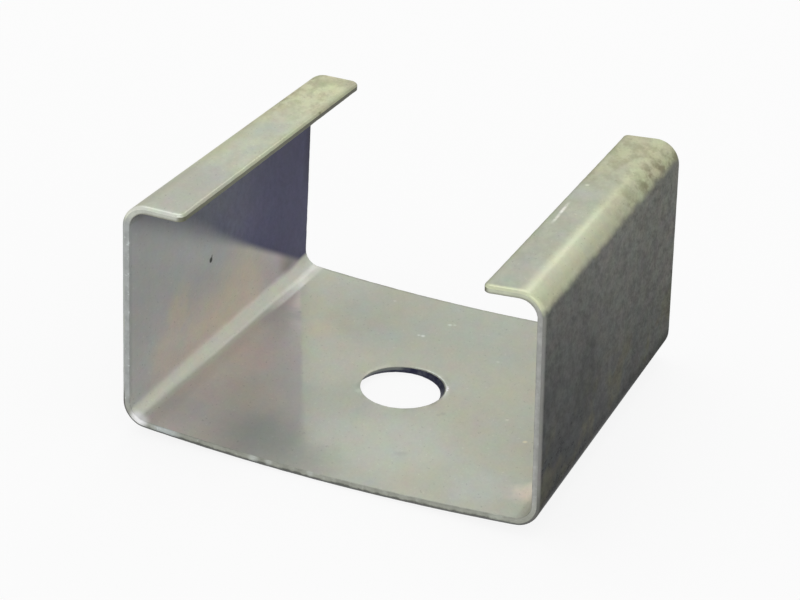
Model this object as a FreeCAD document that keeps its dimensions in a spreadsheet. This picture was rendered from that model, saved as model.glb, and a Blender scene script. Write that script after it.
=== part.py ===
import FreeCAD, Part
import Sketcher
import os
from math import asin, degrees, radians, tan

# A mounting plate folded from one piece of thin zinc-plated steel sheet: a base with one
# round bolt hole, two side walls, and two lips that turn in over the base.
# X runs across the base, Y along the bends and Z up. The origin is the middle of the
# rectangle that the plate stands in, on the surface that it stands on.

# Sizes in millimetres and degrees: name, value and what it measures.
DRIVING_SIZES = [
    ("plate_width", 55.0, "across the outsides of the two lower bends"),
    ("plate_length", 50.0, "along the bends, between the sheared ends"),
    ("wall_height", 30.2, "over the outsides of a wall's two bends"),
    ("sheet_thickness", 1.0, "the sheet, everywhere"),
    ("bend_radius", 2.2, "inside of all four bends"),
    ("base_bow", 1.0, "how far the base bulges down below its bend lines"),
    ("left_lean", 1.2, "how far the left wall leans in, in degrees"),
    ("right_lean", 2.1, "how far the right wall leans in, in degrees"),
    ("left_lip_length", 8.2, "left lip, from the outside of its bend to its free edge"),
    ("right_lip_length", 7.7, "right lip, from the outside of its bend to its free edge"),
    ("left_lip_droop", 1.0, "how far the left lip slopes down to its free edge, in degrees"),
    ("right_lip_droop", 3.5, "how far the right lip slopes down to its free edge, in degrees"),
    ("lip_corner_radius", 0.7, "the free corners of the lips, seen from above"),
    ("hole_diameter", 11.0, "bolt hole, a medium clearance for a 10 mm bolt"),
    ("hole_left_offset", 0.2, "how far the hole lies left of the middle of the width"),
    ("hole_front_offset", 0.5, "how far the hole lies in front of the middle of the length"),
    ("edge_round", 0.2, "rounding of the sheared edges of the sheet"),
]
size = {name: value for name, value, meaning in DRIVING_SIZES}

# Which point of a line or arc a constraint takes hold of.
START, END, CENTRE = range(1, 4)
# A sketch's own level axis is its line -1 and its upright axis is its line -2.
ORIGIN = (-1, START)

# The order in which a face of the sheet is walked, from the left lip's free edge round
# to the right lip's.
(LEFT_LIP, LEFT_TOP_BEND, LEFT_WALL, LEFT_LOW_BEND, BASE,
 RIGHT_LOW_BEND, RIGHT_WALL, RIGHT_TOP_BEND, RIGHT_LIP) = range(9)


def make_sheet(doc):
    sheet = doc.addObject("Spreadsheet::Sheet", "Sizes")
    for row, (name, value, meaning) in enumerate(DRIVING_SIZES, start=1):
        sheet.set(f"A{row}", name)
        sheet.set(f"B{row}", str(value))
        sheet.set(f"C{row}", meaning)
        sheet.setAlias(f"B{row}", name)
    doc.recompute()


def new_sketch(body, name, plane_role):
    planes = [plane for plane in body.Origin.OriginFeatures if plane.Role == plane_role]
    sketch = body.newObject("Sketcher::SketchObject", name)
    sketch.AttachmentSupport = (planes[0], "")
    sketch.MapMode = "FlatFace"
    return sketch


def drive(sketch, expression, kind, *where):
    """Add a dimension to a sketch and tie it to the sheet of sizes."""
    value = sketch.evalExpression(expression)
    number = sketch.addConstraint(Sketcher.Constraint(kind, *where, value))
    sketch.setExpression(f"Constraints[{number}]", expression)


def draw_face(sketch, inset):
    """Draw one face of the sheet, end on, as far inside the outer face as inset."""
    outer_radius = size["bend_radius"] + size["sheet_thickness"]
    bend_x = size["plate_width"] / 2 - outer_radius
    bend_z = size["base_bow"] + outer_radius
    rise = size["wall_height"] - 2 * outer_radius
    bow = size["base_bow"]
    base_radius = (bend_x**2 + bow**2) / (2 * bow)
    slope = degrees(asin(bend_x / base_radius))
    left_x = bend_x - rise * tan(radians(size["left_lean"]))
    right_x = bend_x - rise * tan(radians(size["right_lean"]))

    # Arcs as centre x, centre z, radius of the outer face, first and last angle.
    bends = [
        (-left_x, bend_z + rise, outer_radius, 90 - size["left_lip_droop"], 180 - size["left_lean"]),
        (-bend_x, bend_z, outer_radius, 180 - size["left_lean"], 270 - slope),
        (0, base_radius, base_radius, 270 - slope, 270 + slope),
        (bend_x, bend_z, outer_radius, 270 + slope, 360 + size["right_lean"]),
        (right_x, bend_z + rise, outer_radius, size["right_lean"], 90 + size["right_lip_droop"]),
    ]
    arcs = []
    for centre_x, centre_z, radius, first, last in bends:
        circle = Part.Circle(FreeCAD.Vector(centre_x, centre_z, 0), FreeCAD.Vector(0, 0, 1), radius - inset)
        arcs.append(Part.ArcOfCircle(circle, radians(first), radians(last)))
    left_top, left_low, base, right_low, right_top = arcs

    left_flat = size["left_lip_length"] - outer_radius
    right_flat = size["right_lip_length"] - outer_radius
    left_tip = left_top.StartPoint + FreeCAD.Vector(left_flat, 0, 0)
    right_tip = right_top.EndPoint - FreeCAD.Vector(right_flat, 0, 0)
    return sketch.addGeometry([
        Part.LineSegment(left_tip, left_top.StartPoint),
        left_top,
        Part.LineSegment(left_top.EndPoint, left_low.StartPoint),
        left_low,
        base,
        right_low,
        Part.LineSegment(right_low.EndPoint, right_top.StartPoint),
        right_top,
        Part.LineSegment(right_top.EndPoint, right_tip),
    ], False)


def draw_profile(sketch):
    """Draw the folded section, X across and Z up, and give the lines of its two free edges."""
    outer = draw_face(sketch, 0)
    inner = draw_face(sketch, size["sheet_thickness"])

    # Each stretch of a face runs smoothly into the next.
    for face in (outer, inner):
        for stretch, following in zip(face, face[1:]):
            sketch.addConstraint(Sketcher.Constraint("Tangent", stretch, END, following, START))
    # Both faces turn about the same centres, and the lips are of even thickness.
    for bend in (LEFT_TOP_BEND, LEFT_LOW_BEND, BASE, RIGHT_LOW_BEND, RIGHT_TOP_BEND):
        sketch.addConstraint(Sketcher.Constraint("Coincident", outer[bend], CENTRE, inner[bend], CENTRE))
    for lip in (LEFT_LIP, RIGHT_LIP):
        sketch.addConstraint(Sketcher.Constraint("Parallel", outer[lip], inner[lip]))

    # The free edges of the lips are square to the sheet.
    edges = []
    for lip, end in ((LEFT_LIP, START), (RIGHT_LIP, END)):
        corners = [sketch.getPoint(face[lip], end) for face in (outer, inner)]
        edge = sketch.addGeometry(Part.LineSegment(*corners), False)
        sketch.addConstraint(Sketcher.Constraint("Coincident", edge, START, outer[lip], end))
        sketch.addConstraint(Sketcher.Constraint("Coincident", edge, END, inner[lip], end))
        sketch.addConstraint(Sketcher.Constraint("Perpendicular", edge, outer[lip]))
        edges.append(edge)

    # All bends are made over the same tool. The inside of the left lower bend needs no
    # radius of its own: it already runs smoothly into the base.
    drive(sketch, "Sizes.bend_radius", "Radius", inner[RIGHT_LOW_BEND])
    for bend in (LEFT_TOP_BEND, RIGHT_TOP_BEND):
        sketch.addConstraint(Sketcher.Constraint("Equal", inner[RIGHT_LOW_BEND], inner[bend]))
    drive(sketch, "Sizes.bend_radius + Sizes.sheet_thickness", "Radius", outer[RIGHT_LOW_BEND])
    for bend in (LEFT_TOP_BEND, LEFT_LOW_BEND, RIGHT_TOP_BEND):
        sketch.addConstraint(Sketcher.Constraint("Equal", outer[RIGHT_LOW_BEND], outer[bend]))

    # The base is a shallow arc whose lowest point is the origin.
    sketch.addConstraint(Sketcher.Constraint("PointOnObject", outer[BASE], CENTRE, -2))
    sketch.addConstraint(Sketcher.Constraint("PointOnObject", *ORIGIN, outer[BASE]))
    drive(sketch, "Sizes.base_bow", "DistanceY", *ORIGIN, outer[BASE], END)

    # Places of the bends.
    reach = "Sizes.plate_width / 2 - Sizes.bend_radius - Sizes.sheet_thickness"
    rise = "(Sizes.wall_height - 2 * (Sizes.bend_radius + Sizes.sheet_thickness))"
    left_low = (outer[LEFT_LOW_BEND], CENTRE)
    left_top = (outer[LEFT_TOP_BEND], CENTRE)
    right_low = (outer[RIGHT_LOW_BEND], CENTRE)
    right_top = (outer[RIGHT_TOP_BEND], CENTRE)
    drive(sketch, reach, "DistanceX", *left_low, *ORIGIN)
    drive(sketch, reach, "DistanceX", *ORIGIN, *right_low)
    drive(sketch, rise, "DistanceY", *left_low, *left_top)
    drive(sketch, rise, "DistanceY", *right_low, *right_top)
    drive(sketch, f"{rise} * tan(Sizes.left_lean * 1 deg)", "DistanceX", *left_low, *left_top)
    drive(sketch, f"{rise} * tan(Sizes.right_lean * 1 deg)", "DistanceX", *right_top, *right_low)

    # Slopes and lengths of the lips.
    drive(sketch, "180 deg - Sizes.left_lip_droop * 1 deg", "Angle", outer[LEFT_LIP])
    drive(sketch, "180 deg + Sizes.right_lip_droop * 1 deg", "Angle", outer[RIGHT_LIP])
    drive(sketch, "Sizes.left_lip_length - Sizes.bend_radius - Sizes.sheet_thickness",
          "DistanceX", *left_top, outer[LEFT_LIP], START)
    drive(sketch, "Sizes.right_lip_length - Sizes.bend_radius - Sizes.sheet_thickness",
          "DistanceX", outer[RIGHT_LIP], END, *right_top)
    return edges


def nearest_edge(shape, point):
    """Name the edge of a shape whose middle lies nearest to a point."""
    def distance(edge):
        middle = edge.valueAt((edge.FirstParameter + edge.LastParameter) / 2)
        return middle.distanceToPoint(point)
    edges = shape.Edges
    number = min(range(len(edges)), key=lambda index: distance(edges[index]))
    return f"Edge{number + 1}"


def make_plate(doc):
    body = doc.addObject("PartDesign::Body", "Plate")
    body.Label = "mounting_plate"
    body.Placement = FreeCAD.Placement()

    # The folded section, run along the bends.
    profile = new_sketch(body, "Profile", "XZ_Plane")
    free_edges = draw_profile(profile)
    doc.recompute()
    if not profile.FullyConstrained:
        raise RuntimeError("the profile is not fully constrained")
    folded = body.newObject("PartDesign::Pad", "FoldedSheet")
    folded.Profile = profile
    folded.SideType = "Symmetric"
    folded.setExpression("Length", "Sizes.plate_length")
    doc.recompute()

    # The bolt hole through the base.
    hole_place = new_sketch(body, "HolePlace", "XY_Plane")
    middle = FreeCAD.Vector(-size["hole_left_offset"], -size["hole_front_offset"], 0)
    circle = hole_place.addGeometry(Part.Circle(middle, FreeCAD.Vector(0, 0, 1), size["hole_diameter"] / 2), False)
    drive(hole_place, "Sizes.hole_diameter", "Diameter", circle)
    drive(hole_place, "Sizes.hole_left_offset", "DistanceX", circle, CENTRE, *ORIGIN)
    drive(hole_place, "Sizes.hole_front_offset", "DistanceY", circle, CENTRE, *ORIGIN)
    doc.recompute()
    hole = body.newObject("PartDesign::Pocket", "BoltHole")
    hole.Profile = hole_place
    hole.Reversed = True
    hole.setExpression("Length", "Sizes.base_bow + 2 * Sizes.sheet_thickness")
    doc.recompute()
    if hole.Shape.Volume >= folded.Shape.Volume:
        raise RuntimeError("the bolt hole cuts nothing")

    # The free corners of the lips.
    corners = []
    for edge in free_edges:
        line = profile.Geometry[edge]
        across = (line.StartPoint + line.EndPoint) / 2
        for end in (-1, 1):
            corner = FreeCAD.Vector(across.x, end * size["plate_length"] / 2, across.y)
            corners.append(nearest_edge(hole.Shape, corner))
    lip_corners = body.newObject("PartDesign::Fillet", "LipCorners")
    lip_corners.Base = (hole, corners)
    lip_corners.setExpression("Radius", "Sizes.lip_corner_radius")
    doc.recompute()

    # The sheared outline, rounded on both faces. Each face has one unbroken smooth edge,
    # found at the middle of the front end of the base.
    front = -size["plate_length"] / 2
    rims = [FreeCAD.Vector(0, front, 0), FreeCAD.Vector(0, front, size["sheet_thickness"])]
    sheared_edges = body.newObject("PartDesign::Fillet", "ShearedEdges")
    sheared_edges.Base = (lip_corners, [nearest_edge(lip_corners.Shape, rim) for rim in rims])
    sheared_edges.setExpression("Radius", "Sizes.edge_round")
    body.Tip = sheared_edges
    doc.recompute()
    return body


def write_parts(doc, bodies):
    for item in doc.Objects:
        if "Invalid" in item.State or "Error" in item.State:
            raise RuntimeError(f"{item.Name} failed: {item.State}")
    for body in bodies:
        if body.Shape.isNull() or not body.Shape.isValid():
            raise RuntimeError(f"{body.Label} has no valid shape")
    os.makedirs("parts", exist_ok=True)
    for body in bodies:
        body.Shape.exportStep(f"parts/{body.Label}.step")
        box = body.Shape.BoundBox
        print(body.Label, "volume", round(body.Shape.Volume, 1), "mm3, solids", len(body.Shape.Solids))
        print("  x", round(box.XMin, 3), round(box.XMax, 3), "y", round(box.YMin, 3), round(box.YMax, 3),
              "z", round(box.ZMin, 3), round(box.ZMax, 3))


document = FreeCAD.newDocument("MountingPlate")
make_sheet(document)
write_parts(document, [make_plate(document)])
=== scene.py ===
import bpy
from math import atan, cos, hypot, pi, radians, sin, sqrt, tan
from mathutils import Matrix, Vector, noise


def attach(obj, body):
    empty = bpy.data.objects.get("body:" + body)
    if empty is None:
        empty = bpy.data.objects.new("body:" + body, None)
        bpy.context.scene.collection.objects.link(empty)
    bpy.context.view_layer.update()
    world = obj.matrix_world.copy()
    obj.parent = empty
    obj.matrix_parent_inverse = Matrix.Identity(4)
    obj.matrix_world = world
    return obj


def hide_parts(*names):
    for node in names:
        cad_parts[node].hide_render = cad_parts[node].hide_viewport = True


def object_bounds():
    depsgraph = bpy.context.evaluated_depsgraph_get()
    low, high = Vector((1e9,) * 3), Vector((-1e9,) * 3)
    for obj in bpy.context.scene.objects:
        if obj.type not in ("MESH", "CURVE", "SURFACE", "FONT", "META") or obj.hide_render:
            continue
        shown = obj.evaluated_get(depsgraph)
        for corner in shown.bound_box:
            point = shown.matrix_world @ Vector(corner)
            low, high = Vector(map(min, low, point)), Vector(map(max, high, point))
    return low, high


# A mounting plate folded from thin zinc-plated steel sheet. Metres, X across the base, Y along
# the bends, Z up, and the plate stands on z = 0.
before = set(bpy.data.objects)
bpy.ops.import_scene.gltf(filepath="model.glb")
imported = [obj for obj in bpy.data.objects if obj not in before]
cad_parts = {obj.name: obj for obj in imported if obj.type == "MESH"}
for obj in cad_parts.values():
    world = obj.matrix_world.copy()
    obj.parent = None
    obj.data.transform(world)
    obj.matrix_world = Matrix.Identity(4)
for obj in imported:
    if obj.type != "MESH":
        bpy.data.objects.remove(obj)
cadBox = [list(corner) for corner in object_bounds()]
millimetre = 0.001


def clearSelection():
    if bpy.context.object and bpy.context.object.mode != "OBJECT":
        bpy.ops.object.mode_set(mode="OBJECT")
    bpy.ops.object.select_all(action="DESELECT")


def isAt(value, target):  # a coordinate in metres against a place in millimetres
    return abs(value - target * millimetre) < 1e-6


def signOf(value):
    return 1 if value > 0 else -1


def pickVertices(piece, wanted, mode="EDGE"):  # in edit mode: only those whose place answers wanted
    bpy.ops.object.mode_set(mode="OBJECT")
    mesh = piece.data
    for part in (mesh.polygons, mesh.edges, mesh.vertices):
        part.foreach_set("select", [False] * len(part))
    mesh.vertices.foreach_set("select", [bool(wanted(v.co)) for v in mesh.vertices])
    bpy.ops.object.mode_set(mode="EDIT")
    bpy.ops.mesh.select_mode(type="VERT")
    bpy.ops.mesh.select_mode(type=mode)


def pickParts(piece, parts, chosen, mode):  # in edit mode: only these edges or polygons
    pickVertices(piece, lambda place: False)
    bpy.ops.object.mode_set(mode="OBJECT")
    getattr(piece.data, parts).foreach_set("select", chosen)
    bpy.ops.object.mode_set(mode="EDIT")
    bpy.ops.mesh.select_mode(type=mode)


def pickFaces(piece, wanted):
    bpy.ops.object.mode_set(mode="OBJECT")
    pickParts(piece, "polygons", [bool(wanted(face)) for face in piece.data.polygons], "FACE")


def edgeMaterials(mesh):  # for each edge, the material of each face that meets there
    found = {}
    for face in mesh.polygons:
        for key in face.edge_keys:
            found.setdefault(key, []).append(face.material_index)
    return found


def pickOpenEdges(piece, wanted):  # edges with fewer than two faces whose ends both answer wanted
    bpy.ops.object.mode_set(mode="OBJECT")
    mesh = piece.data
    materials = edgeMaterials(mesh)
    chosen = [len(materials.get(edge.key, ())) < 2
              and all(wanted(mesh.vertices[i].co) for i in edge.vertices) for edge in mesh.edges]
    pickParts(piece, "edges", chosen, "EDGE")
    return sum(chosen)


def pickRims(piece, first, second):  # edges between faces of two materials
    bpy.ops.object.mode_set(mode="OBJECT")
    materials = edgeMaterials(piece.data)
    chosen = [set(materials[edge.key]) == {first, second} for edge in piece.data.edges]
    pickParts(piece, "edges", chosen, "EDGE")


def useModifier(piece, kind, **settings):
    modifier = piece.modifiers.new(kind.title(), kind)
    for name, value in settings.items():
        setattr(modifier, name, value)
    bpy.ops.object.modifier_apply(modifier=modifier.name)


# The folded sheet, in millimetres and degrees.
sheet = {
    "width": 55.0, "length": 49.96, "wallHeight": 30.2, "thickness": 1.0,
    "bendRadius": 3.2,  # outside of all four bends
    "baseBow": 1.0,  # how far the base bulges below its bend lines
    "leftLean": 1.2, "rightLean": 2.1,  # walls leaning in
    "leftLip": 8.2, "rightLip": 7.7,  # over the outside of the bend
    "leftDroop": 1.0, "rightDroop": 3.5,  # lips sloping down
    "holeRadius": 5.5, "holeX": -0.2, "holeY": -0.5,
    "holeSquare": 7.4,  # half the square that is remade round the hole
    "cell": 0.54,  # size of the mesh's cells across the bends
    "rows": 70,  # cells along the bends, not counting the end rows
    "endRow": 2.1,  # the wider row at each sheared end and along the lips' free edges
    "lipCells": 8, "bendSteps": 12, "holeSteps": 3,
    "corners": {(-1, -1): 1.0, (-1, 1): 1.3, (1, -1): 0.9, (1, 1): 0.7},  # side, end: radius
    "cornerSteps": 8,
    "outerRound": 0.36, "innerRound": 0.15, "holeRound": 0.1, "roundSteps": 4,
    "holeBreak": 0.7,  # how far the punch broke out the lower rim of the hole to the left
    "shearWave": 0.05, "shearRipple": 0.9, "rimBump": 0.012,
}
outerSide, innerSide, rimSide, holeSide = range(4)  # the sheet's materials


def planSheet(size):  # the places and angles that follow from the sizes
    radius = size["bendRadius"]
    lowX = size["width"] / 2 - radius
    rise = size["wallHeight"] - 2 * radius
    slope = 0
    for step in range(9):  # the base's slope at its ends, where it runs into the bends
        slope = 2 * atan(size["baseBow"] / (lowX + radius * sin(slope)))
    lowZ = size["baseBow"] + radius * cos(slope)
    plan = {"lowX": lowX, "lowZ": lowZ, "rise": rise, "topZ": lowZ + rise, "slope": slope,
            "baseRadius": lowX / sin(slope) + radius,
            "halfLength": size["length"] / 2, "rowsHalf": size["length"] / 2 - size["endRow"]}
    for side, name in ((-1, "left"), (1, "right")):
        lean = radians(size[name + "Lean"])
        droop = radians(size[name + "Droop"])
        reach = size[name + "Lip"] - radius
        topX = side * (lowX - rise * tan(lean))
        plan[side] = {"lean": lean, "droop": droop, "topX": topX, "tip": topX - side * reach,
                      "flat": (reach - radius * sin(droop)) / cos(droop)}
    return plan


def extrude(shift):
    bpy.ops.mesh.extrude_region_move(TRANSFORM_OT_translate={"value": shift * millimetre})


def fold(centreX, centreZ, sweep, steps):
    bpy.ops.mesh.spin(steps=steps, angle=sweep, axis=(0, 1, 0),
                      center=(centreX * millimetre, 0, centreZ * millimetre))


def foldStrip(size, plan):  # the sheet's outer side, bend by bend from the left lip to the right one
    left, right = plan[-1], plan[1]
    radius, endCell, cell = size["bendRadius"], size["endRow"], size["cell"]
    slope, rowsHalf = plan["slope"], plan["rowsHalf"]
    low = {side: Vector((side * plan["lowX"], 0, plan["lowZ"])) for side in (-1, 1)}
    top = {side: Vector((plan[side]["topX"], 0, plan["topZ"])) for side in (-1, 1)}

    # The left lip's top is the start: a grid, and a wider cell along its free edge.
    inward = Vector((cos(left["droop"]), 0, -sin(left["droop"])))
    bendStart = Vector((left["topX"] + radius * sin(left["droop"]), 0,
                        plan["topZ"] + radius * cos(left["droop"])))
    gridWidth = left["flat"] - endCell
    clearSelection()
    middle = bendStart + inward * gridWidth / 2
    bpy.ops.mesh.primitive_grid_add(
        x_subdivisions=size["lipCells"], y_subdivisions=size["rows"],
        size=2 * rowsHalf * millimetre, location=middle * millimetre, rotation=(0, left["droop"], 0))
    plate = bpy.context.object
    plate.name = plate.data.name = "foldedSheet"
    plate.scale.x = gridWidth / (2 * rowsHalf)
    bpy.ops.object.transform_apply(location=True, rotation=True, scale=True)
    pickVertices(plate, lambda v: isAt(v.x, (bendStart + inward * gridWidth).x))
    extrude(inward * endCell)

    pickVertices(plate, lambda v: isAt(v.x, bendStart.x))
    fold(left["topX"], plan["topZ"], pi / 2 - left["lean"] + left["droop"], size["bendSteps"])
    wallCells = round(plan["rise"] / cell)
    for step in range(wallCells):
        extrude((low[-1] - top[-1]) / wallCells)
    fold(-plan["lowX"], plan["lowZ"], pi / 2 - slope + left["lean"], size["bendSteps"])
    fold(0, plan["baseRadius"], 2 * slope, round(2 * slope * plan["baseRadius"] / cell))
    fold(plan["lowX"], plan["lowZ"], pi / 2 - slope + right["lean"], size["bendSteps"])
    for step in range(wallCells):
        extrude((top[1] - low[1]) / wallCells)
    fold(right["topX"], plan["topZ"], pi / 2 - right["lean"] + right["droop"], size["bendSteps"])
    inward = Vector((-cos(right["droop"]), 0, -sin(right["droop"])))
    lipCells = size["lipCells"] - 1
    for step in range(lipCells):
        extrude(inward * (right["flat"] - endCell) / lipCells)
    extrude(inward * endCell)

    for end in (-1, 1):  # the wider rows at both sheared ends
        pickVertices(plate, lambda v: isAt(v.y, end * rowsHalf))
        extrude(Vector((0, end * size["endRow"], 0)))
    bpy.ops.mesh.select_all(action="SELECT")
    bpy.ops.mesh.remove_doubles(threshold=1e-6)
    print("sheet folded:", len(plate.data.polygons), "faces")
    return plate


def openHole(plate, size, plan):  # a square of cells comes out, and the gap is bridged to a circle
    holeX, holeY, square = size["holeX"], size["holeY"], size["holeSquare"]
    low = 0.6 * millimetre  # the middle of the base lies lower than this
    far = 15 * millimetre  # farther out than the square's corners
    pickFaces(plate, lambda face: face.center.z < low
              and abs(face.center.x / millimetre - holeX) < square
              and abs(face.center.y / millimetre - holeY) < square)
    bpy.ops.mesh.delete(type="FACE")
    rim = pickOpenEdges(plate, lambda v: v.z < low and hypot(v.x, v.y) < far)
    bpy.ops.mesh.primitive_circle_add(vertices=rim, radius=size["holeRadius"] * millimetre,
                                      location=(holeX * millimetre, holeY * millimetre, 0))
    pickOpenEdges(plate, lambda v: v.z < low and hypot(v.x, v.y) < far)
    bpy.ops.mesh.bridge_edge_loops(number_cuts=size["holeSteps"], interpolation="LINEAR")
    bpy.ops.object.mode_set(mode="OBJECT")
    baseRadius = plan["baseRadius"]
    for v in plate.data.vertices:  # what was bridged lies on the bowed base
        if v.co.z < low:
            v.co.z = (baseRadius - sqrt(baseRadius**2 - (v.co.x / millimetre)**2)) * millimetre
    print("hole bridged with", rim, "edges")


def pastHole(v, size):  # millimetres from the hole's rim outwards, seen from above
    return hypot(v.x / millimetre - size["holeX"], v.y / millimetre - size["holeY"]) - size["holeRadius"]


def cutEnds(plate, size, plan):  # rounded free corners of the lips, and a slightly uneven shear
    for (side, end), cornerRadius in size["corners"].items():
        tipX, endY = plan[side]["tip"], end * plan["halfLength"]
        pickVertices(plate, lambda v: isAt(v.x, tipX) and isAt(v.y, endY), mode="VERT")
        bpy.ops.mesh.bevel(offset=cornerRadius * millimetre, segments=size["cornerSteps"],
                           affect="VERTICES")
    pickOpenEdges(plate, lambda v: True)
    bpy.ops.object.mode_set(mode="OBJECT")
    for v in plate.data.vertices:
        if not v.select or pastHole(v.co, size) < 1:
            continue
        place = v.co / millimetre
        ragged = noise.fractal(place * size["shearRipple"], 0.6, 2.0, 3)
        bite = (0.5 + 0.5 * ragged) * size["shearWave"] * millimetre
        if abs(place.y) > plan["rowsHalf"] + 0.1:
            v.co.y -= bite * signOf(v.co.y)
        else:
            v.co.x += bite * signOf(v.co.x)


def thicken(plate, size):  # from a surface to a sheet, with materials for its inner face and sheared rim
    for finish in ("zincOutside", "zincInside", "zincShearedEdge", "zincHoleWall"):
        plate.data.materials.append(bpy.data.materials.new(finish))
    base = next(face for face in plate.data.polygons if face.center.z < 0.1 * millimetre)
    if base.normal.z > 0:
        plate.data.flip_normals()
    useModifier(plate, "SOLIDIFY", thickness=size["thickness"] * millimetre, offset=-1,
                use_even_offset=True, material_offset=innerSide, material_offset_rim=rimSide)
    for face in plate.data.polygons:
        if face.material_index == rimSide and pastHole(face.center, size) < 0.5:
            face.material_index = holeSide


def breakHole(plate, size):  # the hole's lower rim, drawn to the left
    bpy.ops.object.mode_set(mode="OBJECT")
    fadeOut = size["holeSquare"] - size["holeRadius"]
    for v in plate.data.vertices:
        past = pastHole(v.co, size)
        if v.co.z < 0.5 * millimetre and past < fadeOut:
            v.co.x -= size["holeBreak"] * (1 - max(past, 0) / fadeOut) * millimetre


def roundEdges(plate, size):  # most outside, where the shear dragged the sheet over, least at the hole
    for side, rim, rounding, finish in (
            (outerSide, rimSide, "outerRound", outerSide), (innerSide, rimSide, "innerRound", rimSide),
            (outerSide, holeSide, "holeRound", holeSide), (innerSide, holeSide, "holeRound", rimSide)):
        pickRims(plate, side, rim)
        bpy.ops.mesh.bevel(offset=size[rounding] * millimetre, segments=size["roundSteps"],
                           affect="EDGES", clamp_overlap=True, material=finish)
    bpy.ops.object.mode_set(mode="OBJECT")
    print("edges rounded:", len(plate.data.polygons), "faces")

    # Small bumps of the shear on the rim, none of which stands out of the plate's own box.
    pickFaces(plate, lambda face: face.material_index in (rimSide, holeSide))
    bpy.ops.transform.vertex_random(
        offset=size["rimBump"] * millimetre, uniform=0.5, normal=0.5, seed=7)
    bpy.ops.object.mode_set(mode="OBJECT")
    for v in plate.data.vertices:
        for axis in range(3):
            v.co[axis] = min(max(v.co[axis], cadBox[0][axis]), cadBox[1][axis])


def buildSheet(size):
    plan = planSheet(size)
    plate = foldStrip(size, plan)
    openHole(plate, size, plan)
    cutEnds(plate, size, plan)
    thicken(plate, size)
    breakHole(plate, size)
    roundEdges(plate, size)
    bpy.ops.object.shade_smooth()
    useModifier(plate, "WEIGHTED_NORMAL", weight=60, keep_sharp=True)
    return plate


plate = buildSheet(sheet)


# Finishes. Colours are linear, places are in millimetres on the plate.
zinc = {
    "metallic": 0.4, "specular": 0.1, "edgeTint": 0.6,
    "grainScale": 2.6, "grainShade": 0.14, "grainDepth": 0.008,
}


class Wire:  # one socket of a shader, so that its maths reads as plain sums
    def __init__(self, tree, socket=None):
        self.tree = tree
        self.socket = socket

    def add(self, kind, settings=None, sockets=None, output=0):  # any other node
        node = self.tree.nodes.new(kind)
        for name, value in (settings or {}).items():
            setattr(node, name, value)
        for name, value in (sockets or {}).items():
            if isinstance(value, Wire):
                self.tree.links.new(value.socket, node.inputs[name])
            else:
                node.inputs[name].default_value = value
        return Wire(self.tree, node.outputs[output] if len(node.outputs) else None)

    def calc(self, operation, *values):
        return self.add("ShaderNodeMath", {"operation": operation}, dict(enumerate(values)))

    def atLeast(self, other):
        return self.calc("MAXIMUM", self, other)

    def vector(self, operation, *values, output=0):
        sockets = dict(enumerate(values))
        return self.add("ShaderNodeVectorMath", {"operation": operation}, sockets, output)

    def scaled(self, factor):  # a colour or vector times a number
        return self.add("ShaderNodeVectorMath", {"operation": "SCALE"},
                        {0: self, "Scale": factor})

    def fade(self, start, end):  # 0 before start, 1 past end, either way round
        return self.add("ShaderNodeMapRange", {"interpolation_type": "SMOOTHSTEP"},
                        {"Value": self, "From Min": start, "From Max": end})

    def mix(self, first, second):  # this mask between two colours
        return self.add("ShaderNodeMix", {"data_type": "RGBA"}, {0: self, 6: first, 7: second}, 2)

    def stretched(self, scale):
        return self.add("ShaderNodeMapping", {}, {"Vector": self, "Scale": scale})

    def noise(self, scale, detail=2.0, roughness=0.5, output=0):
        return self.add("ShaderNodeTexNoise", {}, {
            "Vector": self, "Scale": scale, "Detail": detail, "Roughness": roughness}, output)

    def near(self, centre, inner, outer):  # 1 within inner of a place, 0 past outer
        return self.vector("DISTANCE", self, centre, output=1).fade(outer, inner)

    def __add__(self, other):
        return self.calc("ADD", self, other)

    def __sub__(self, other):
        return self.calc("SUBTRACT", self, other)

    def __rsub__(self, other):
        return self.calc("SUBTRACT", other, self)

    def __mul__(self, other):
        return self.calc("MULTIPLY", self, other)

    def __abs__(self):
        return self.calc("ABSOLUTE", self)

    __radd__ = __add__
    __rmul__ = __mul__


def newTree(owner):
    owner.use_nodes = True
    owner.node_tree.nodes.clear()
    return Wire(owner.node_tree)


def leftOf(across, along, start, end):  # millimetres to the left of the line from start to end
    dx, dy = end[0] - start[0], end[1] - start[1]
    length = hypot(dx, dy)
    return along * (dx / length) - across * (dy / length) + (dy * start[0] - dx * start[1]) / length


def startFinish(material):  # the wire, the place in millimetres, and its three parts
    wire = newTree(material)
    place = wire.add("ShaderNodeTexCoord", output="Object").scaled(1000.0)
    parts = [place.add("ShaderNodeSeparateXYZ", {}, {0: place}, axis) for axis in range(3)]
    return wire, place, parts


def drawnOut(wire, x, y, z):  # the place for marks that are longer along the bends, a little slanted
    return wire.add("ShaderNodeCombineXYZ", {}, {0: x + 0.22 * y, 1: 0.6 * y, 2: z + 0.24 * y})


def addSpots(place, colour, spots):
    for centre, inner, outer, tint, strength in spots:
        colour = (place.near(centre, inner, outer) * strength).mix(colour, tint)
    return colour


def mottled(marks, colour):  # faint patches of other tints, and specks
    tints = marks.noise(0.45, 4.0, 0.6, output=1).scaled(0.22)
    colour = colour.vector("MULTIPLY", colour, tints.vector("ADD", tints, (0.89, 0.89, 0.89)))
    specks = marks.noise(3.1, 2.0, 0.5)
    return colour.scaled(1.0 + 0.14 * specks.fade(0.66, 0.76) - 0.22 * specks.fade(0.34, 0.25))


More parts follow.
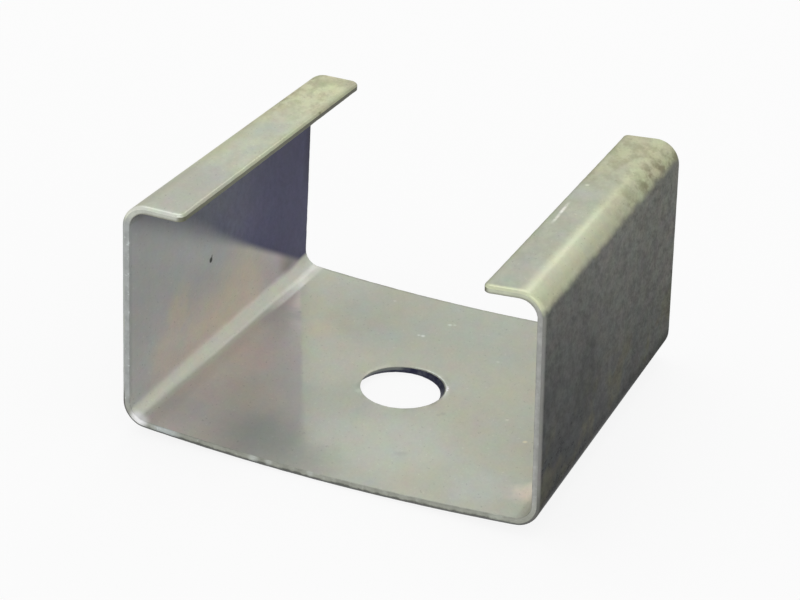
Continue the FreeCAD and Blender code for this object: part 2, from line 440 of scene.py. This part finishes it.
def endFinish(wire, marks, colour, roughness,
              depth=zinc["grainDepth"], specular=zinc["specular"], edgeTint=zinc["edgeTint"]):
    grain = marks.noise(zinc["grainScale"], 3.0, 0.6)
    colour = colour.scaled(1 - zinc["grainShade"] / 2 + zinc["grainShade"] * grain)
    normal = wire.add("ShaderNodeBump", {}, {
        "Strength": 1.0, "Distance": depth * millimetre, "Height": grain})
    shader = wire.add("ShaderNodeBsdfPrincipled", {}, {
        "Base Color": colour, "Roughness": roughness, "Normal": normal, "Metallic": zinc["metallic"],
        "Specular IOR Level": specular, "Specular Tint": (edgeTint, edgeTint, edgeTint, 1)})
    wire.add("ShaderNodeOutputMaterial", {}, {"Surface": shader})


insideFinish = {
    "plain": (0.465, 0.48, 0.405, 1), "warm": (0.48, 0.48, 0.39, 1), "cool": (0.455, 0.48, 0.42, 1),
    "wall": (0.55, 0.56, 0.565, 1),
    # The left wall is painted lighter low down, as light falling there, with a tan tint at its foot
    # towards the back.
    "wallFoot": (0.86, 0.76, 0.65, 1), "wallFront": (0.645, 0.665, 0.64, 1),
    # The bend is painted bright as a broad highlight, with a painted glint.
    "bend": (0.78, 0.79, 0.67, 1), "bendFoot": (0.65, 0.66, 0.57, 1),
    "glint": (1.0, 1.0, 0.92, 1), "glintX": -24.15, "glintY": 15.5,
    "holeCentre": (-0.2, -0.5, 1.0),
    # Beside the left wall the base has painted shade and a painted reflection of the wall, up to this
    # line across x and y.
    "baseShade": (0.445, 0.43, 0.395, 1), "baseShadeFar": (0.64, 0.595, 0.545, 1),
    "baseShadeStart": (-23.5, 17.0), "baseShadeEnd": (-2.5, -25.0), "baseShadeRim": (0.45, 0.44, 0.42, 1),
    # The left wall has painted shade under its lip, above this line across y and z.
    "lipShadeStart": (-25.0, 28.5), "lipShadeEnd": (-12.0, 22.0),
    # A painted blue-black reflection of dark surroundings covers its back, above this line across y and
    # z.
    "darkReflectionTop": (0.084, 0.090, 0.113, 1), "darkReflectionLow": (0.062, 0.062, 0.121, 1),
    "darkReflectionStart": (-12.5, 23.1), "darkReflectionEnd": (20.3, 4.8), "darkReflectionFoot": (0.14, 0.135, 0.185, 1),
    "baseTints": [  # place, inner and outer reach, colour, strength
        ((-16.5, 8, 1.5), 1, 4.5, (0.56, 0.53, 0.40, 1), 0.7),
        ((-12, 2, 1.2), 3, 10, (0.535, 0.54, 0.455, 1), 0.8),
        ((4, -14, 1.1), 3, 12, (0.51, 0.53, 0.46, 1), 0.9),
        ((24.0, -18.4, 2.0), 0.5, 3.4, (0.70, 0.64, 0.525, 1), 0.9),
        ((13, 6, 1.2), 2, 8, (0.48, 0.475, 0.37, 1), 0.6),
        ((2, 19, 1.0), 2, 9, (0.45, 0.485, 0.415, 1), 0.5),
        ((18.0, -19.5, 1.5), 1.5, 6.0, (0.49, 0.51, 0.465, 1), 0.8),
        ((-3.5, -23, 1.0), 0.5, 6.0, (0.36, 0.38, 0.34, 1), 0.75),
    ],
    "wallTints": [
        ((-26.4, -12.5, 10.5), 1, 5.0, (0.72, 0.635, 0.52, 1), 0.8),
        ((-26.4, 5, 8.5), 2, 10, (0.72, 0.65, 0.55, 1), 0.5),
        ((-26.4, -20, 12), 1, 8, (0.57, 0.56, 0.56, 1), 0.6),
        ((-26.4, -10.6, 8), 0.6, 1.9, (0.52, 0.53, 0.62, 1), 0.8),
    ],
    "footTints": [
        ((-26.4, -16, 6.0), 1, 6.0, (0.76, 0.67, 0.61, 1), 0.7),
        ((-26.4, 14.5, 6.2), 1, 6.5, (0.83, 0.765, 0.80, 1), 0.8),
    ],
    "baseShadeTints": [
        ((-20.5, -3, 1.7), 1, 6, (0.67, 0.58, 0.51, 1), 0.6),
        ((-16.5, -12, 1.4), 1, 7, (0.58, 0.54, 0.46, 1), 0.5),
        ((-8.5, -20, 1.1), 1, 8, (0.365, 0.385, 0.35, 1), 0.9),
        ((-23, 9, 2.0), 1, 5, (0.56, 0.53, 0.50, 1), 0.7),
        ((-20.4, 11.0, 1.7), 0.5, 3.2, (0.40, 0.40, 0.39, 1), 0.7),
        ((-21.5, -20, 1.8), 1, 5.5, (0.575, 0.56, 0.54, 1), 0.8),
    ],
    "spots": [  # bright specks and scuffs, painted glints at the hole's rim and the bend's front end, a smudge and one dark nick
        ((19.24, -7.37, 1.62), 0.10, 0.45, (0.80, 0.74, 0.52, 1), 0.6),
        ((15.14, -2.9, 1.38), 0.05, 0.35, (0.70, 0.70, 0.62, 1), 0.5),
        ((-1.51, 18.54, 1.0), 0.05, 0.45, (0.80, 0.86, 0.80, 1), 0.5),
        ((-0.9, 18.8, 1.0), 0.05, 0.35, (0.80, 0.86, 0.80, 1), 0.3),
        ((-3.5, 13.81, 1.02), 0.05, 0.45, (0.85, 0.88, 0.85, 1), 0.55),
        ((-4.1, 13.76, 1.02), 0.05, 0.35, (0.85, 0.88, 0.85, 1), 0.4),
        ((8.33, 11.42, 1.12), 0.05, 0.35, (0.75, 0.75, 0.70, 1), 0.3),
        ((-10.98, 21.36, 1.2), 0.05, 0.35, (0.75, 0.75, 0.70, 1), 0.3),
        # Painted glints on the hole's far rim.
        ((5.24, 1.35, 1.04), 0.05, 0.22, (1.0, 1.0, 1.0, 1), 0.95),
        ((5.14, 1.75, 1.04), 0.08, 0.25, (1.0, 1.0, 1.0, 1), 0.95),
        ((4.98, 2.15, 1.04), 0.05, 0.22, (1.0, 1.0, 1.0, 1), 0.9),
        ((7.18, -4.71, 1.09), 0.15, 0.55, (0.34, 0.35, 0.31, 1), 0.45),
        ((6.75, -5.20, 1.09), 0.10, 0.45, (0.35, 0.36, 0.32, 1), 0.4),
        ((6.6, -16.0, 1.1), 0.10, 1.0, (0.33, 0.345, 0.31, 1), 0.28),
        ((5.9, -16.2, 1.1), 0.10, 0.8, (0.36, 0.375, 0.34, 1), 0.25),
        ((-20.77, 11.28, 1.8), 0.10, 0.35, (0.33, 0.33, 0.30, 1), 0.4),
        # A painted glint at the front end of the bend, then the dark nick.
        ((-25.2, -24.9, 2.3), 0.4, 1.7, (1.0, 1.0, 1.0, 1), 1.0),
        ((-26.28, -4.05, 14.89), 0.25, 0.50, (0.04, 0.04, 0.04, 1), 0.95),
        ((-26.28, -3.8, 15.3), 0.10, 0.36, (0.14, 0.14, 0.13, 1), 0.6),
    ],
    # Painted highlights along the hole's far rim, painted shade beside the left wall's front edge, and a
    # darker line along the base's back edge.
    "rimLight": (0.66, 0.68, 0.60, 1), "rimLine": (0.86, 0.92, 0.86, 1),
    "frontRim": (0.36, 0.40, 0.38, 1), "backRim": (0.24, 0.25, 0.20, 1),
    "roughness": 0.30, "roughnessSpread": 0.10,
}


def paintInside(material):
    look = insideFinish
    wire, place, (x, y, z) = startFinish(material)
    marks = drawnOut(wire, x, y, z)
    clouds = place.noise(0.13, 3.0, 0.55)
    speckle = marks.noise(1.6, 4.0, 0.7).fade(0.35, 0.65)
    drift = place.noise(0.30, 3.0, 0.55, output=1)
    warped = place.vector("ADD", place, (-2.5, -2.5, -2.5))
    warped = place.vector("MULTIPLY_ADD", drift, (5, 5, 5), warped)

    # The base, with faint tints left by the plating bath, and a painted highlight along the hole's far
    # rim.
    colour = clouds.fade(0.45, 0.70).mix(look["plain"], look["warm"])
    colour = clouds.fade(0.52, 0.32).mix(colour, look["cool"])
    colour = addSpots(warped, colour, look["baseTints"])
    colour = colour.scaled(1.0 - 0.08 * y.fade(4, 16) + 0.06 * y.fade(-6, -18))
    # Painted light on the base at the back left, by the bend.
    colour = colour.scaled(1.0 + 0.14 * x.fade(-10, -21) * y.fade(4, 14))
    rim = place.near(look["holeCentre"], 5.7, 6.3) * (x * 0.6 + y * 0.5).fade(1.8, 4.2)
    colour = (rim * (0.25 + 0.5 * clouds)).mix(colour, look["rimLight"])
    rim = place.near(look["holeCentre"], 5.6, 5.95) * (x * 0.5 + y * 0.6).fade(2.0, 3.4)
    colour = (rim * (0.2 + 0.6 * speckle)).mix(colour, look["rimLine"])
    back = y.fade(24.3, 24.85) * z.fade(5, 3) * (0.3 + 0.5 * speckle)
    colour = back.mix(colour, look["backRim"])

    # Painted shade and reflection of the left wall on the base beside it.
    baseShade = x.fade(-11, -21).mix(look["baseShade"], look["baseShadeFar"])
    baseShade = addSpots(warped, baseShade, look["baseShadeTints"]).scaled(1.0 + 0.06 * y.fade(-20, -8))
    baseShade = baseShade.scaled(1.0 - 0.07 * x.fade(-22.2, -23.6))
    beyond = leftOf(x, y, look["baseShadeStart"], look["baseShadeEnd"])
    baseShade = (beyond.fade(-5.5, -0.8) * y.fade(-16, -7) * y.fade(12, 5) * 0.6).mix(baseShade, look["baseShadeRim"])
    colour = colour.scaled(1.0 + 0.09 * beyond.fade(7.0, 1.0) * y.fade(-24, -14))
    softness = y.fade(-22, -4) * 1.4 + 0.25
    inBaseShade = (beyond * softness).fade(0.55, -0.55)
    colour = inBaseShade.mix(colour, baseShade)

    # The left wall, painted lighter low down as light falling there, with a tan tint towards the back,
    # with painted shade under its lip and a painted dark reflection over its back.
    wall = addSpots(warped, look["wall"], look["wallTints"])
    foot = y.fade(-19, -4).mix(look["wallFront"], look["wallFoot"])
    wall = (z.fade(14.0, 5.0) * 0.85).mix(wall, foot)
    wall = addSpots(place, wall, look["footTints"])
    # Painted shade under the lip and at the wall's front top; lighter towards the front.
    underLip = leftOf(y, z, look["lipShadeStart"], look["lipShadeEnd"]).fade(-3.5, 1.5)
    wall = wall.scaled((1.0 + 0.08 * y.fade(-25, -15)) * (1.0 - 0.26 * underLip))
    wall = wall.scaled(1.0 - 0.07 * y.fade(-8, -18) * z.fade(12, 18))
    # A painted dark reflection over the wall's back, and its painted dark tail at the foot.
    darkReflection = (y * 0.05 - z * 0.05 + clouds).fade(-0.9, 0.6).mix(look["darkReflectionTop"], look["darkReflectionLow"])
    strokes = marks.stretched((1.0, 1.6, 0.6)).noise(1.0, 3.0, 0.6)
    darkReflection = darkReflection.scaled((0.74 + 0.4 * strokes + 0.12 * speckle) * (1.0 - 0.10 * z.fade(15.0, 23.0)))
    darkReflection = darkReflection.scaled(1.0 + 0.63 * y.fade(20, -4))
    darkReflection = darkReflection.scaled(1.0 - 0.35 * y.fade(22.5, 24.6) * z.fade(13, 17))
    above = leftOf(y, z, look["darkReflectionStart"], look["darkReflectionEnd"])
    wall = (0.25 * y.fade(7, 14) + 0.38 * y.fade(15, 19.5)).mix(wall, look["darkReflectionFoot"])
    sharpness = y.fade(-8, 14) * 0.95 + 0.35
    wall = (above * sharpness).fade(-0.8, 0.8).mix(wall, darkReflection)

    # Between them the bend, painted bright as a broad highlight, with a painted glint along it and
    # darker at its back end as painted reflection.
    bend = x.fade(-24.9, -25.8).mix(look["bendFoot"], look["bend"])
    bend = bend.scaled(1.0 - 0.24 * y.fade(20, 24) * z.fade(2.2, 3.4))
    glint = abs(x - look["glintX"]).fade(1.0, 0.15) * abs(y - look["glintY"]).fade(7.0, 2.0)
    bend = (glint * (0.75 + 0.25 * speckle)).mix(bend, look["glint"])
    bend = (x - 0.6 * y.fade(5, 14) + 0.35 * y.fade(-8, -16)).fade(-24.0, -24.6).mix(colour, bend)
    colour = (x.fade(-20, -22) * (z - 0.35 * y.fade(20, 24)).fade(2.9, 3.7)).mix(bend, wall)
    # Painted shade beside the left wall's front edge.
    frontRim = y.fade(-24.0, -24.6) * x.fade(-25.8, -26.2) * z.fade(4, 6)
    colour = (frontRim * 0.3).mix(colour, look["frontRim"])

    colour = addSpots(place, mottled(marks, colour), look["spots"])
    endFinish(wire, marks, colour, look["roughness"] + look["roughnessSpread"] * clouds)


outsideFinish = {
    "bendX": 23.6, "bendZ": 27.99,  # the middle of the top bends
    "darkTurn": 1.38, "brightTurn": 0.92,  # radians round them, where the painted reflection turns from bright to dark
    "lip": (0.605, 0.63, 0.505, 1), "lipYellow": (0.64, 0.655, 0.445, 1),
    "lipBack": (0.70, 0.705, 0.475, 1), "lipGrey": (0.55, 0.575, 0.51, 1),
    "lipDirt": (0.38, 0.365, 0.24, 1), "shine": (0.80, 0.83, 0.60, 1),
    "lipFree": (0.52, 0.55, 0.37, 1), "lipFreeBack": (0.27, 0.265, 0.20, 1),
    "lipMiddle": 21.6, "lipFreeX": (19.8, 19.0),
    "leftFront": (0.86, 0.89, 0.77, 1), "rightFront": (0.70, 0.735, 0.52, 1),  # lips' front rounds, painted bright as a highlight
    "frontLeft": (0.46, 0.48, 0.46, 1), "frontRight": (0.255, 0.255, 0.24, 1),  # walls' front rounds: painted light on the left, painted shade on the right
    "frontLow": (0.17, 0.175, 0.165, 1),
    "scratch": (1.0, 1.0, 0.92, 1), "scratchX": 19.99, "scratchSlant": 0.036, "scratchY": -2.7,
    "dullShaded": (0.170, 0.173, 0.155, 1), "dullShadedDark": (0.050, 0.053, 0.055, 1),
    "dullShadedOlive": (0.112, 0.108, 0.070, 1), "dullShadedCloud": ((27, -9, 13), 2.0, 7.0),
    "spots": [  # a speck, smears and a dent in the edge of the lips
        ((-22.0, -13.5, 31.2), 1.0, 6.0, (0.50, 0.515, 0.49, 1), 0.6),
        ((-22.5, -19.5, 31.2), 2.0, 8.5, (0.535, 0.53, 0.465, 1), 0.7),
        ((-21.8, 4.5, 31.2), 0.5, 3.6, (0.53, 0.56, 0.52, 1), 0.6),
        ((20.8, 4.0, 30.9), 0.5, 5.0, (0.50, 0.53, 0.49, 1), 0.5),
        ((22.0, -20.0, 30.9), 0.5, 5.0, (0.49, 0.51, 0.44, 1), 0.5),
        ((20.19, 6.62, 31.0), 0.05, 0.40, (1.0, 1.0, 0.88, 1), 0.45),
        ((-22.9, 22.3, 31.2), 0.5, 2.0, (0.42, 0.42, 0.28, 1), 0.5),
        ((-20.0, 23.4, 31.1), 0.5, 2.6, (0.44, 0.44, 0.31, 1), 0.5),
        ((-18.6, 12.4, 31.0), 0.2, 0.6, (0.22, 0.22, 0.14, 1), 0.8),
    ],
    "roughness": 0.34, "roughnessBack": 0.20, "specular": 0.03, "edgeTint": 0.3,
}


def paintOutside(material):
    look = outsideFinish
    wire, place, (x, y, z) = startFinish(material)
    marks = drawnOut(wire, x, y, z)
    clouds = place.noise(0.16, 3.0, 0.55)
    mottle = marks.noise(0.8, 4.0, 0.6).fade(0.32, 0.68)
    fine = marks.noise(2.2, 3.0, 0.6).fade(0.30, 0.70)
    onRight = x.fade(0, 1)

    # Walls and underside: dull and mottled, painted dark as shade and as the reflection of dark
    # surroundings, and painted darker still low down and at the front.
    height = (z - 5.0) * 0.029 + (y + 23.0) * 0.0145 + clouds * 0.6 - 0.36
    dullShaded = height.atLeast(0.0).mix(look["dullShadedDark"], look["dullShaded"])
    olive = clouds.fade(0.48, 0.62) * z.fade(16, 8)
    dullShaded = (olive * 0.6).mix(dullShaded, look["dullShadedOlive"])
    dullShaded = dullShaded.scaled((0.68 + 0.34 * mottle + 0.30 * fine) * (0.50 + 0.50 * z.fade(3.2, 6.0)))
    dullShaded = dullShaded.scaled(1.0 - 0.22 * place.near(*look["dullShadedCloud"])).scaled(1.0 + 0.06 * z.fade(22, 28))
    # The walls' front rounds: painted light on the left, painted shade on the right and low down.
    rim = x.fade(-1, 1).mix(look["frontLeft"], look["frontRight"])
    rim = (abs(x).fade(20, 25) * z.fade(4, 7)).mix(look["frontLow"], rim)
    dullShaded = y.fade(-24.45, -24.98).mix(dullShaded, rim)

    # Lips: bright, yellower round the bends and towards the back, with some dirt there.
    turn = x.calc("ARCTAN2", abs(x) - look["bendX"], z - look["bendZ"])
    back = (y + clouds * 20.0 - 10.0).fade(-6.0, 22.0)
    grey = place.stretched((1.0, 0.3, 1.0)).noise(0.35, 3.0, 0.5).fade(0.42, 0.66)
    grey = grey * abs(abs(x) - look["lipMiddle"]).fade(2.4, 0.4)
    lip = (grey * 0.5).mix(look["lip"], look["lipGrey"]).scaled(0.95 + 0.10 * mottle)
    yellow = (turn + clouds * 0.6 - 0.3).fade(-0.35, 0.50) * (0.6 + 0.35 * mottle)
    lip = yellow.mix(lip, look["lipYellow"])
    # A painted highlight round the right top bend, strongest at the front.
    shine = turn.fade(-0.14, 0.22) * turn.fade(0.92, 0.40) * onRight
    lip = (shine * (0.30 + 0.45 * y.fade(10, -14))).mix(lip, look["shine"])
    lip = (back * 0.85).mix(lip, look["lipBack"])
    dirt = marks.noise(0.6, 4.0, 0.62).fade(0.40, 0.66) * (y + clouds * 14.0 - 7.0).fade(-8.0, 18.0)
    dirt = dirt * (0.46 + 0.60 * turn.fade(0.1, 0.9)) + fine * back * 0.14
    lip = dirt.mix(lip, look["lipDirt"])
    free = (back * 0.5).mix(look["lipFree"], look["lipFreeBack"])
    lip = (abs(x).fade(*look["lipFreeX"]) * 0.6).mix(lip, free)
    flat = turn.fade(0.25, -0.02) * (0.05 + 0.07 * y.fade(16, 4))
    lip = lip.scaled(1.02 - onRight * (0.14 + flat + 0.06 * turn.fade(0.5, 0.9) * y.fade(-16, 0)))
    # A painted highlight on the lips' front rounds.
    front = x.fade(-1, 1).mix(look["leftFront"], look["rightFront"])
    lip = (y.fade(-24.2, -24.8) * z.fade(28.5, 30.0)).mix(lip, front)
    lip = addSpots(place, lip, look["spots"])
    scratch = abs(x + look["scratchSlant"] * y - look["scratchX"]).fade(0.32, 0.04)
    scratch = scratch * abs(y - look["scratchY"]).fade(3.9, 1.2)
    scratch = scratch * (0.2 + 0.8 * place.noise(0.5, 3.0, 0.6).fade(0.40, 0.60))
    lip = (scratch * z.fade(28, 29) * 0.75).mix(lip, look["scratch"])

    # Round the top bends the lit lips give way to the painted dark of the walls.
    bright = turn + mottle * 0.10 - 0.05 + clouds * 0.3 - 0.15
    bright = bright.fade(look["darkTurn"], look["brightTurn"]) * z.fade(26.6, 28.0)
    colour = mottled(marks, bright.mix(dullShaded, lip))
    roughness = look["roughness"] + look["roughnessBack"] * back
    endFinish(wire, marks, colour, roughness, specular=look["specular"], edgeTint=look["edgeTint"])


edgeFinish = {
    "base": (0.36, 0.37, 0.32, 1), "glint": (0.80, 0.86, 0.85, 1),
    "wallLeft": (0.405, 0.425, 0.415, 1),
    "wallRight": (0.40, 0.405, 0.385, 1), "wallRightOuter": (0.31, 0.315, 0.295, 1),
    "outer": (0.13, 0.135, 0.12, 1),  # painted shade along the outer side, where the shear rounded it
    "leftFront": (0.57, 0.59, 0.52, 1), "rightFront": (0.57, 0.60, 0.46, 1),
    "lipFoot": (0.30, 0.305, 0.25, 1),
    "lipFree": (0.20, 0.205, 0.15, 1), "lipFreeBack": (0.13, 0.13, 0.10, 1),
    "spots": [  # light spots and painted glints along the front edge
        ((-9.4, -25, 0.9), 0.2, 1.0, (0.62, 0.66, 0.62, 1), 0.6),
        ((-7.3, -25, 0.9), 0.2, 0.7, (0.60, 0.63, 0.59, 1), 0.5),
        ((-1.7, -25, 0.9), 0.2, 0.7, (0.60, 0.63, 0.59, 1), 0.5),
        ((22.2, -25, 1.6), 0.3, 1.2, (0.56, 0.60, 0.52, 1), 0.4),
        ((-25.2, -24.9, 2.3), 0.4, 1.7, (1.0, 1.0, 1.0, 1), 1.0),
        ((-21.5, -25, 1.2), 0.5, 2.6, (0.66, 0.72, 0.72, 1), 0.6),
    ],
    "roughness": 0.34, "grainDepth": 0.015,
    # The middles of the bends, and how the walls lean, the base bows and the lips droop from there.
    "sideX": 24.42, "lean": 0.029, "bow": 0.0017,
    "topX": 23.5, "topZ": 27.99, "droopLeft": 0.0175, "droopRightMore": 0.0436,
}


def sheetDepth(wire, x, z):  # millimetres into the sheet's thickness, from its outer side
    look, radius = edgeFinish, sheet["bendRadius"]
    side = abs(x) + look["lean"] * z - look["sideX"]
    low = radius - z + x * x * look["bow"]
    droop = look["droopLeft"] + look["droopRightMore"] * x.fade(0, 1)
    high = z - look["topZ"] + droop * (look["topX"] - abs(x)).atLeast(0.0)
    parts = [part.atLeast(0.0) for part in (side, low, high)]
    corner = wire.add("ShaderNodeCombineXYZ", {}, dict(enumerate(parts)))
    return radius - corner.vector("LENGTH", corner, output=1)


def paintEdge(material):
    look = edgeFinish
    wire, place, (x, y, z) = startFinish(material)
    depth = sheetDepth(wire, x, z)
    wear = place.noise(0.8, 4.0, 0.6).fade(0.32, 0.68)
    onRight = x.fade(-1, 1)
    right = depth.fade(0.2, 0.9).mix(look["wallRightOuter"], look["wallRight"])
    wall = onRight.mix(look["wallLeft"], right)
    colour = z.fade(2.5, 6.0).mix(look["base"], wall).scaled(0.88 + 0.24 * wear)
    # Painted glints, more towards the left.
    glints = place.noise(1.3, 3.0, 0.6).fade(0.56, 0.74) * (0.12 + 0.5 * x.fade(-10, -24))
    colour = glints.mix(colour, look["glint"])
    # Painted shade along the outer side of the edge, under the base only.
    outer = (depth + 0.2 * wear - 0.1).fade(0.62, 0.35)
    outer = outer * x.fade(-25.5, -22.0) * x.fade(25.0, 22.5)  # under the base only
    colour = outer.mix(colour, look["outer"])
    face = onRight.mix(look["leftFront"], look["rightFront"])
    face = depth.fade(0.60, 0.95).mix(face, look["lipFoot"])
    free = (y.fade(-8, 16) * 0.9).mix(look["lipFree"], look["lipFreeBack"])
    face = abs(x).fade(19.8, 19.2).mix(face, free).scaled(0.92 + 0.16 * wear)
    colour = (z - 0.5 * onRight).fade(28.2, 30.0).mix(colour, face)
    colour = addSpots(place, colour, look["spots"])
    endFinish(wire, place, colour, look["roughness"] + 0.1 * wear, depth=look["grainDepth"])


holeFinish = {
    # The hole's wall is painted dark as shade, mottled, with a painted highlight at its left.
    "dark": (0.030, 0.032, 0.060, 1), "worn": (0.085, 0.090, 0.115, 1),
    "light": (0.19, 0.205, 0.20, 1),
    "roughness": 0.40, "grainDepth": 0.01,
}


def paintHole(material):
    look = holeFinish
    wire, place, (x, y, z) = startFinish(material)
    wear = place.noise(1.0, 3.0, 0.6)
    colour = wear.fade(0.40, 0.70).mix(look["dark"], look["worn"])
    bright = x.fade(-1.6, -3.2) * z.fade(0.35, 0.60)  # a painted highlight at its left, above the break
    colour = bright.mix(colour, look["light"])
    endFinish(wire, place, colour, look["roughness"] + 0.1 * wear, depth=look["grainDepth"])


for material, paint in zip(plate.data.materials, (paintOutside, paintInside, paintEdge, paintHole)):
    paint(material)
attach(plate, "root")
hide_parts("mounting_plate")
print("finishes made")


# Floor, light and camera.
studio = {
    "floorColour": (0.8, 0.8, 0.8, 1), "floorSize": 8.0,
    "floorDrop": 0.00003,  # just below the plate
    "floorGlow": 0.88,  # the share of plain white in what the camera and gloss see of the floor
    "skyColour": (1.0, 1.0, 1.0, 1), "skyLevel": 0.66,
    "lamps": [  # azimuth and elevation in degrees, distance, width, watts
        {"name": "windowLight", "azimuth": -9, "elevation": 33,
         "distance": 0.8, "width": 0.3, "power": 0.45},
        {"name": "ceilingLight", "azimuth": -40, "elevation": 72,
         "distance": 1.0, "width": 0.8, "power": 2.2},
        {"name": "fillLight", "azimuth": 160, "elevation": 32,
         "distance": 1.0, "width": 0.5, "power": 1.2},
    ],
    "eye": (93.643, -226.995, 136.549),  # millimetres
    "forward": (-0.344917, 0.824648, -0.448316), "right": (0.915044, 0.401821, 0.035123),
    "focalLength": 2165.28, "pictureWidth": 800,  # both in pixels
    "sensorWidth": 36,
}


def makeFloor():
    clearSelection()
    bpy.ops.mesh.primitive_plane_add(size=studio["floorSize"], location=(0, 0, -studio["floorDrop"]))
    floor = bpy.context.object
    floor.name = "paleFloor"
    bpy.ops.object.transform_apply(location=True, rotation=True, scale=True)
    paper = bpy.data.materials.new("palePaper")
    wire = newTree(paper)
    shade = wire.add("ShaderNodeBsdfDiffuse", {}, {"Color": studio["floorColour"]})
    glow = wire.add("ShaderNodeEmission", {}, {"Color": (1, 1, 1, 1), "Strength": 1.0})
    seen = wire.add("ShaderNodeLightPath", output="Is Camera Ray")
    gloss = wire.add("ShaderNodeLightPath", output="Is Glossy Ray")
    through = wire.add("ShaderNodeLightPath", output="Is Transmission Ray")
    share = seen.atLeast(gloss).atLeast(through) * studio["floorGlow"]
    mixed = wire.add("ShaderNodeMixShader", {}, {0: share, 1: shade, 2: glow})
    wire.add("ShaderNodeOutputMaterial", {}, {"Surface": mixed})
    floor.data.materials.append(paper)


def makeLight():
    world = bpy.data.worlds.new("studio")
    bpy.context.scene.world = world
    wire = newTree(world)
    sky = wire.add("ShaderNodeBackground", {}, {
        "Color": studio["skyColour"], "Strength": studio["skyLevel"]})
    wire.add("ShaderNodeOutputWorld", {}, {"Surface": sky})
    for lamp in studio["lamps"]:
        light = bpy.data.lights.new(lamp["name"], "AREA")
        light.shape = "SQUARE"
        light.size = lamp["width"]
        light.energy = lamp["power"]
        holder = bpy.data.objects.new(lamp["name"], light)
        bpy.context.scene.collection.objects.link(holder)
        azimuth, elevation = radians(lamp["azimuth"]), radians(lamp["elevation"])
        way = Vector((
            sin(azimuth) * cos(elevation), cos(azimuth) * cos(elevation), sin(elevation)))
        holder.location = way * lamp["distance"]
        holder.rotation_euler = way.to_track_quat("Z", "Y").to_euler()


def makeCamera():
    eye = Vector(studio["eye"]) * millimetre
    forward = Vector(studio["forward"]).normalized()
    right = Vector(studio["right"])
    right = (right - forward * right.dot(forward)).normalized()
    up = right.cross(forward)
    camera = bpy.data.objects.new("camera", bpy.data.cameras.new("camera"))
    bpy.context.scene.collection.objects.link(camera)
    camera.data.sensor_width = studio["sensorWidth"]
    camera.data.lens = studio["focalLength"] * studio["sensorWidth"] / studio["pictureWidth"]
    camera.data.clip_start = 0.01
    camera.data.clip_end = 50
    turn = Matrix((right, up, -forward)).transposed().to_4x4()
    camera.matrix_world = Matrix.Translation(eye) @ turn
    bpy.context.scene.camera = camera


makeFloor()
makeLight()
makeCamera()
bpy.context.scene.view_settings.view_transform = "Standard"
print("studio set")
